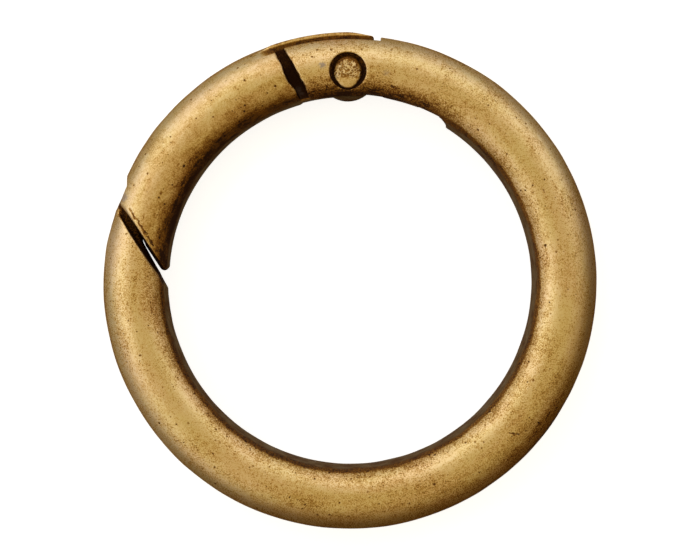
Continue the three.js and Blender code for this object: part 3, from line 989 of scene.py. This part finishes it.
def worn_brass(name):
    """The rivet's hammered head: pale ridges with dark between them, worn smooth on its lower side,
    and smooth and darker in a painted shadow on its upper side.
    """
    nodes = Nodes(name)
    calm = nodes.layer("calm")
    squiggle = nodes.noise(0.26, detail=2.0, rough=0.6, shift=2.0)
    ridge = nodes.math("ABSOLUTE", nodes.minus(squiggle, 0.5))
    grain = nodes.noise(GRAIN_SIZE, detail=1.0, rough=0.6, shift=5.0)
    fleck = nodes.span(ridge, 0.015, 0.10, 0.0, 0.62)
    fleck = nodes.times(fleck, nodes.minus(1.0, calm))
    grained = nodes.span(grain, 0.3, 0.7, -0.14, 0.18, smooth=False)
    tone = nodes.add(fleck, nodes.times(calm, 0.16), grained)
    dark = nodes.times(nodes.layer("recess_and_shade"), RECESS_AND_SHADE_TONE)
    tone = nodes.math("ADD", tone, dark, clamp=True)
    nodes.put(nodes.shader.inputs["Base Color"], nodes.ramp(tone, BRASS_STOPS))
    nodes.metal(nodes.span(tone, 0.0, 1.0, 0.34, 0.62), tone)
    nodes.put(nodes.shader.inputs["Coat Weight"], COAT_WEIGHT)
    nodes.bump(nodes.minus(nodes.times(grain, 0.3), fleck), 0.035)
    return nodes.material


def spring_steel(name):
    nodes = Nodes(name)
    drawn = nodes.noise(0.25, detail=4.0, rough=0.6)
    oil = nodes.noise(1.2, detail=3.0, shift=4.0)
    tone = nodes.add(nodes.times(drawn, 0.6), nodes.times(oil, 0.5))
    nodes.put(nodes.shader.inputs["Base Color"], nodes.ramp(tone, STEEL_STOPS))
    nodes.put(nodes.shader.inputs["Metallic"], 1.0)
    nodes.put(nodes.shader.inputs["Roughness"], nodes.span(tone, 0.3, 0.9, 0.28, 0.5))
    nodes.bump(drawn, 0.008)
    return nodes.material


brass = aged_brass("aged_brass")
ring_piece.data.materials.append(brass)
gate_piece.data.materials.append(brass)
rivet_piece.data.materials.append(worn_brass("worn_brass"))
spring_piece.data.materials.append(spring_steel("spring_steel"))

# ---- floor, light and camera ----

FLOOR_HALF_SIZE = 3.0
FLOOR_GREY = 0.6
FLOOR_GLOW = 0.8

WARM = (0.94, 0.79, 0.45)
WARM_BELOW = (1.0, 0.62, 0.25)
COOL = (0.97, 1.05, 1.30)
WORLD_BELOW = 0.08  # the world's brightness under the ring, and straight above it
WORLD_ABOVE = 0.60
LOW_LIGHT = 0.30
LOW_LIGHT_AZIMUTH = 128

# Name, azimuth and elevation in degrees, distance, width and height in metres, brightness, colour.
SOFTBOXES = (
    ("key", 141, 29, 0.6, 1.1, 0.74, 0.80, COOL),
    ("second", 53, 25, 0.6, 0.92, 0.64, 0.63, COOL),
    ("side", 212, 28, 0.6, 0.62, 0.62, 0.40, COOL),
    ("front", 270, 50, 0.7, 0.8, 0.35, 0.05, WARM),
)

CAMERA_DISTANCE = 0.42
CAMERA_MIDDLE = (0.01, 0.145)  # in millimetres
CAMERA_FIELD = 0.04823  # the width that it sees of the ring's plane

# The cast skin is uneven, so the floor is at its lowest point and not at the CAD's.
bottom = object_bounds()[0][2]


def floor():
    """Evenly bright, like a light table, and not reflected in the metal."""
    mesh = bpy.data.meshes.new("floor")
    half = FLOOR_HALF_SIZE
    corners = [(-half, -half), (half, -half), (half, half), (-half, half)]
    mesh.from_pydata([(x, y, bottom) for x, y in corners], [], [(0, 1, 2, 3)])
    piece = bpy.data.objects.new("floor", mesh)
    bpy.context.scene.collection.objects.link(piece)
    material = bpy.data.materials.new("floor_white")
    material.use_nodes = True
    shader = material.node_tree.nodes["Principled BSDF"]
    shader.inputs["Base Color"].default_value = (FLOOR_GREY, FLOOR_GREY, FLOOR_GREY, 1)
    shader.inputs["Roughness"].default_value = 0.9
    shader.inputs["Specular IOR Level"].default_value = 0.0
    shader.inputs["Emission Color"].default_value = (1, 1, 1, 1)
    shader.inputs["Emission Strength"].default_value = FLOOR_GLOW
    mesh.materials.append(material)
    piece.visible_glossy = False


def softbox(name, azimuth, elevation, distance, width, height, radiance, colour):
    """A soft panel of this brightness, facing the ring. Azimuth runs from +X towards +Y."""
    light = bpy.data.lights.new(name, "AREA")
    light.shape = "RECTANGLE"
    light.size, light.size_y = width, height
    light.energy = radiance * math.pi * width * height
    light.color = colour
    panel = bpy.data.objects.new(name, light)
    a, e = math.radians(azimuth), math.radians(elevation)
    direction = Vector((math.cos(a) * math.cos(e), math.sin(a) * math.cos(e), math.sin(e)))
    panel.location = direction * distance
    panel.rotation_mode = "QUATERNION"
    panel.rotation_quaternion = direction.to_track_quat("Z", "Y")
    panel.visible_camera = False
    bpy.context.scene.collection.objects.link(panel)


def world():
    """Warm and dim, brightest overhead, with light from the upper left below the horizon.

    Where the camera sees it directly, it is plain white like the floor.
    """
    sky = bpy.data.worlds.new("studio")
    sky.use_nodes = True
    tree = sky.node_tree

    def span(value, low, high, to_low, to_high):
        node = tree.nodes.new("ShaderNodeMapRange")
        node.interpolation_type = "SMOOTHSTEP"
        for socket, number in zip(node.inputs[1:5], (low, high, to_low, to_high)):
            socket.default_value = number
        tree.links.new(value, node.inputs["Value"])
        return node.outputs[0]

    place = tree.nodes.new("ShaderNodeTexCoord").outputs["Generated"]
    split = tree.nodes.new("ShaderNodeSeparateXYZ")
    tree.links.new(place, split.inputs[0])
    towards = tree.nodes.new("ShaderNodeVectorMath")
    towards.operation = "DOT_PRODUCT"
    azimuth = math.radians(LOW_LIGHT_AZIMUTH)
    towards.inputs[1].default_value = (math.cos(azimuth), math.sin(azimuth), 0)
    tree.links.new(place, towards.inputs[0])
    low_light = tree.nodes.new("ShaderNodeMath")
    low_light.operation = "MULTIPLY"
    tree.links.new(span(towards.outputs["Value"], -0.80, 0.8, 0.0, LOW_LIGHT), low_light.inputs[0])
    tree.links.new(span(split.outputs["Z"], 0.25, -0.1, 0.0, 1.0), low_light.inputs[1])

    warmth = tree.nodes.new("ShaderNodeMix")
    warmth.data_type = "RGBA"
    warmth.inputs[6].default_value = (*WARM_BELOW, 1)
    warmth.inputs[7].default_value = (*WARM, 1)
    tree.links.new(span(split.outputs["Z"], -0.1, 0.6, 0.0, 1.0), warmth.inputs["Factor"])
    warm = tree.nodes.new("ShaderNodeBackground")
    tree.links.new(warmth.outputs[2], warm.inputs["Color"])
    tree.links.new(span(split.outputs["Z"], -0.35, 1.0, WORLD_BELOW, WORLD_ABOVE), warm.inputs[1])
    cool = tree.nodes.new("ShaderNodeBackground")
    cool.inputs["Color"].default_value = (*COOL, 1)
    tree.links.new(low_light.outputs[0], cool.inputs["Strength"])
    studio = tree.nodes.new("ShaderNodeAddShader")
    tree.links.new(warm.outputs[0], studio.inputs[0])
    tree.links.new(cool.outputs[0], studio.inputs[1])
    white = tree.nodes.new("ShaderNodeBackground")
    white.inputs["Color"].default_value = (1, 1, 1, 1)
    path = tree.nodes.new("ShaderNodeLightPath")
    shown = tree.nodes.new("ShaderNodeMixShader")
    tree.links.new(path.outputs["Is Camera Ray"], shown.inputs[0])
    tree.links.new(studio.outputs[0], shown.inputs[1])
    tree.links.new(white.outputs[0], shown.inputs[2])
    tree.links.new(shown.outputs[0], tree.nodes["World Output"].inputs["Surface"])
    bpy.context.scene.world = sky


def camera():
    """Straight above the ring, far enough away for almost parallel rays."""
    lens = bpy.data.cameras.new("camera")
    lens.sensor_width = 36.0
    lens.lens = lens.sensor_width * CAMERA_DISTANCE / CAMERA_FIELD
    lens.clip_start, lens.clip_end = 0.01, 10.0
    view = bpy.data.objects.new("camera", lens)
    view.location = (CAMERA_MIDDLE[0] * MM, CAMERA_MIDDLE[1] * MM, CAMERA_DISTANCE)
    bpy.context.scene.collection.objects.link(view)
    bpy.context.scene.camera = view


floor()
for box in SOFTBOXES:
    softbox(*box)
world()
camera()
bpy.context.scene.view_settings.view_transform = "Standard"
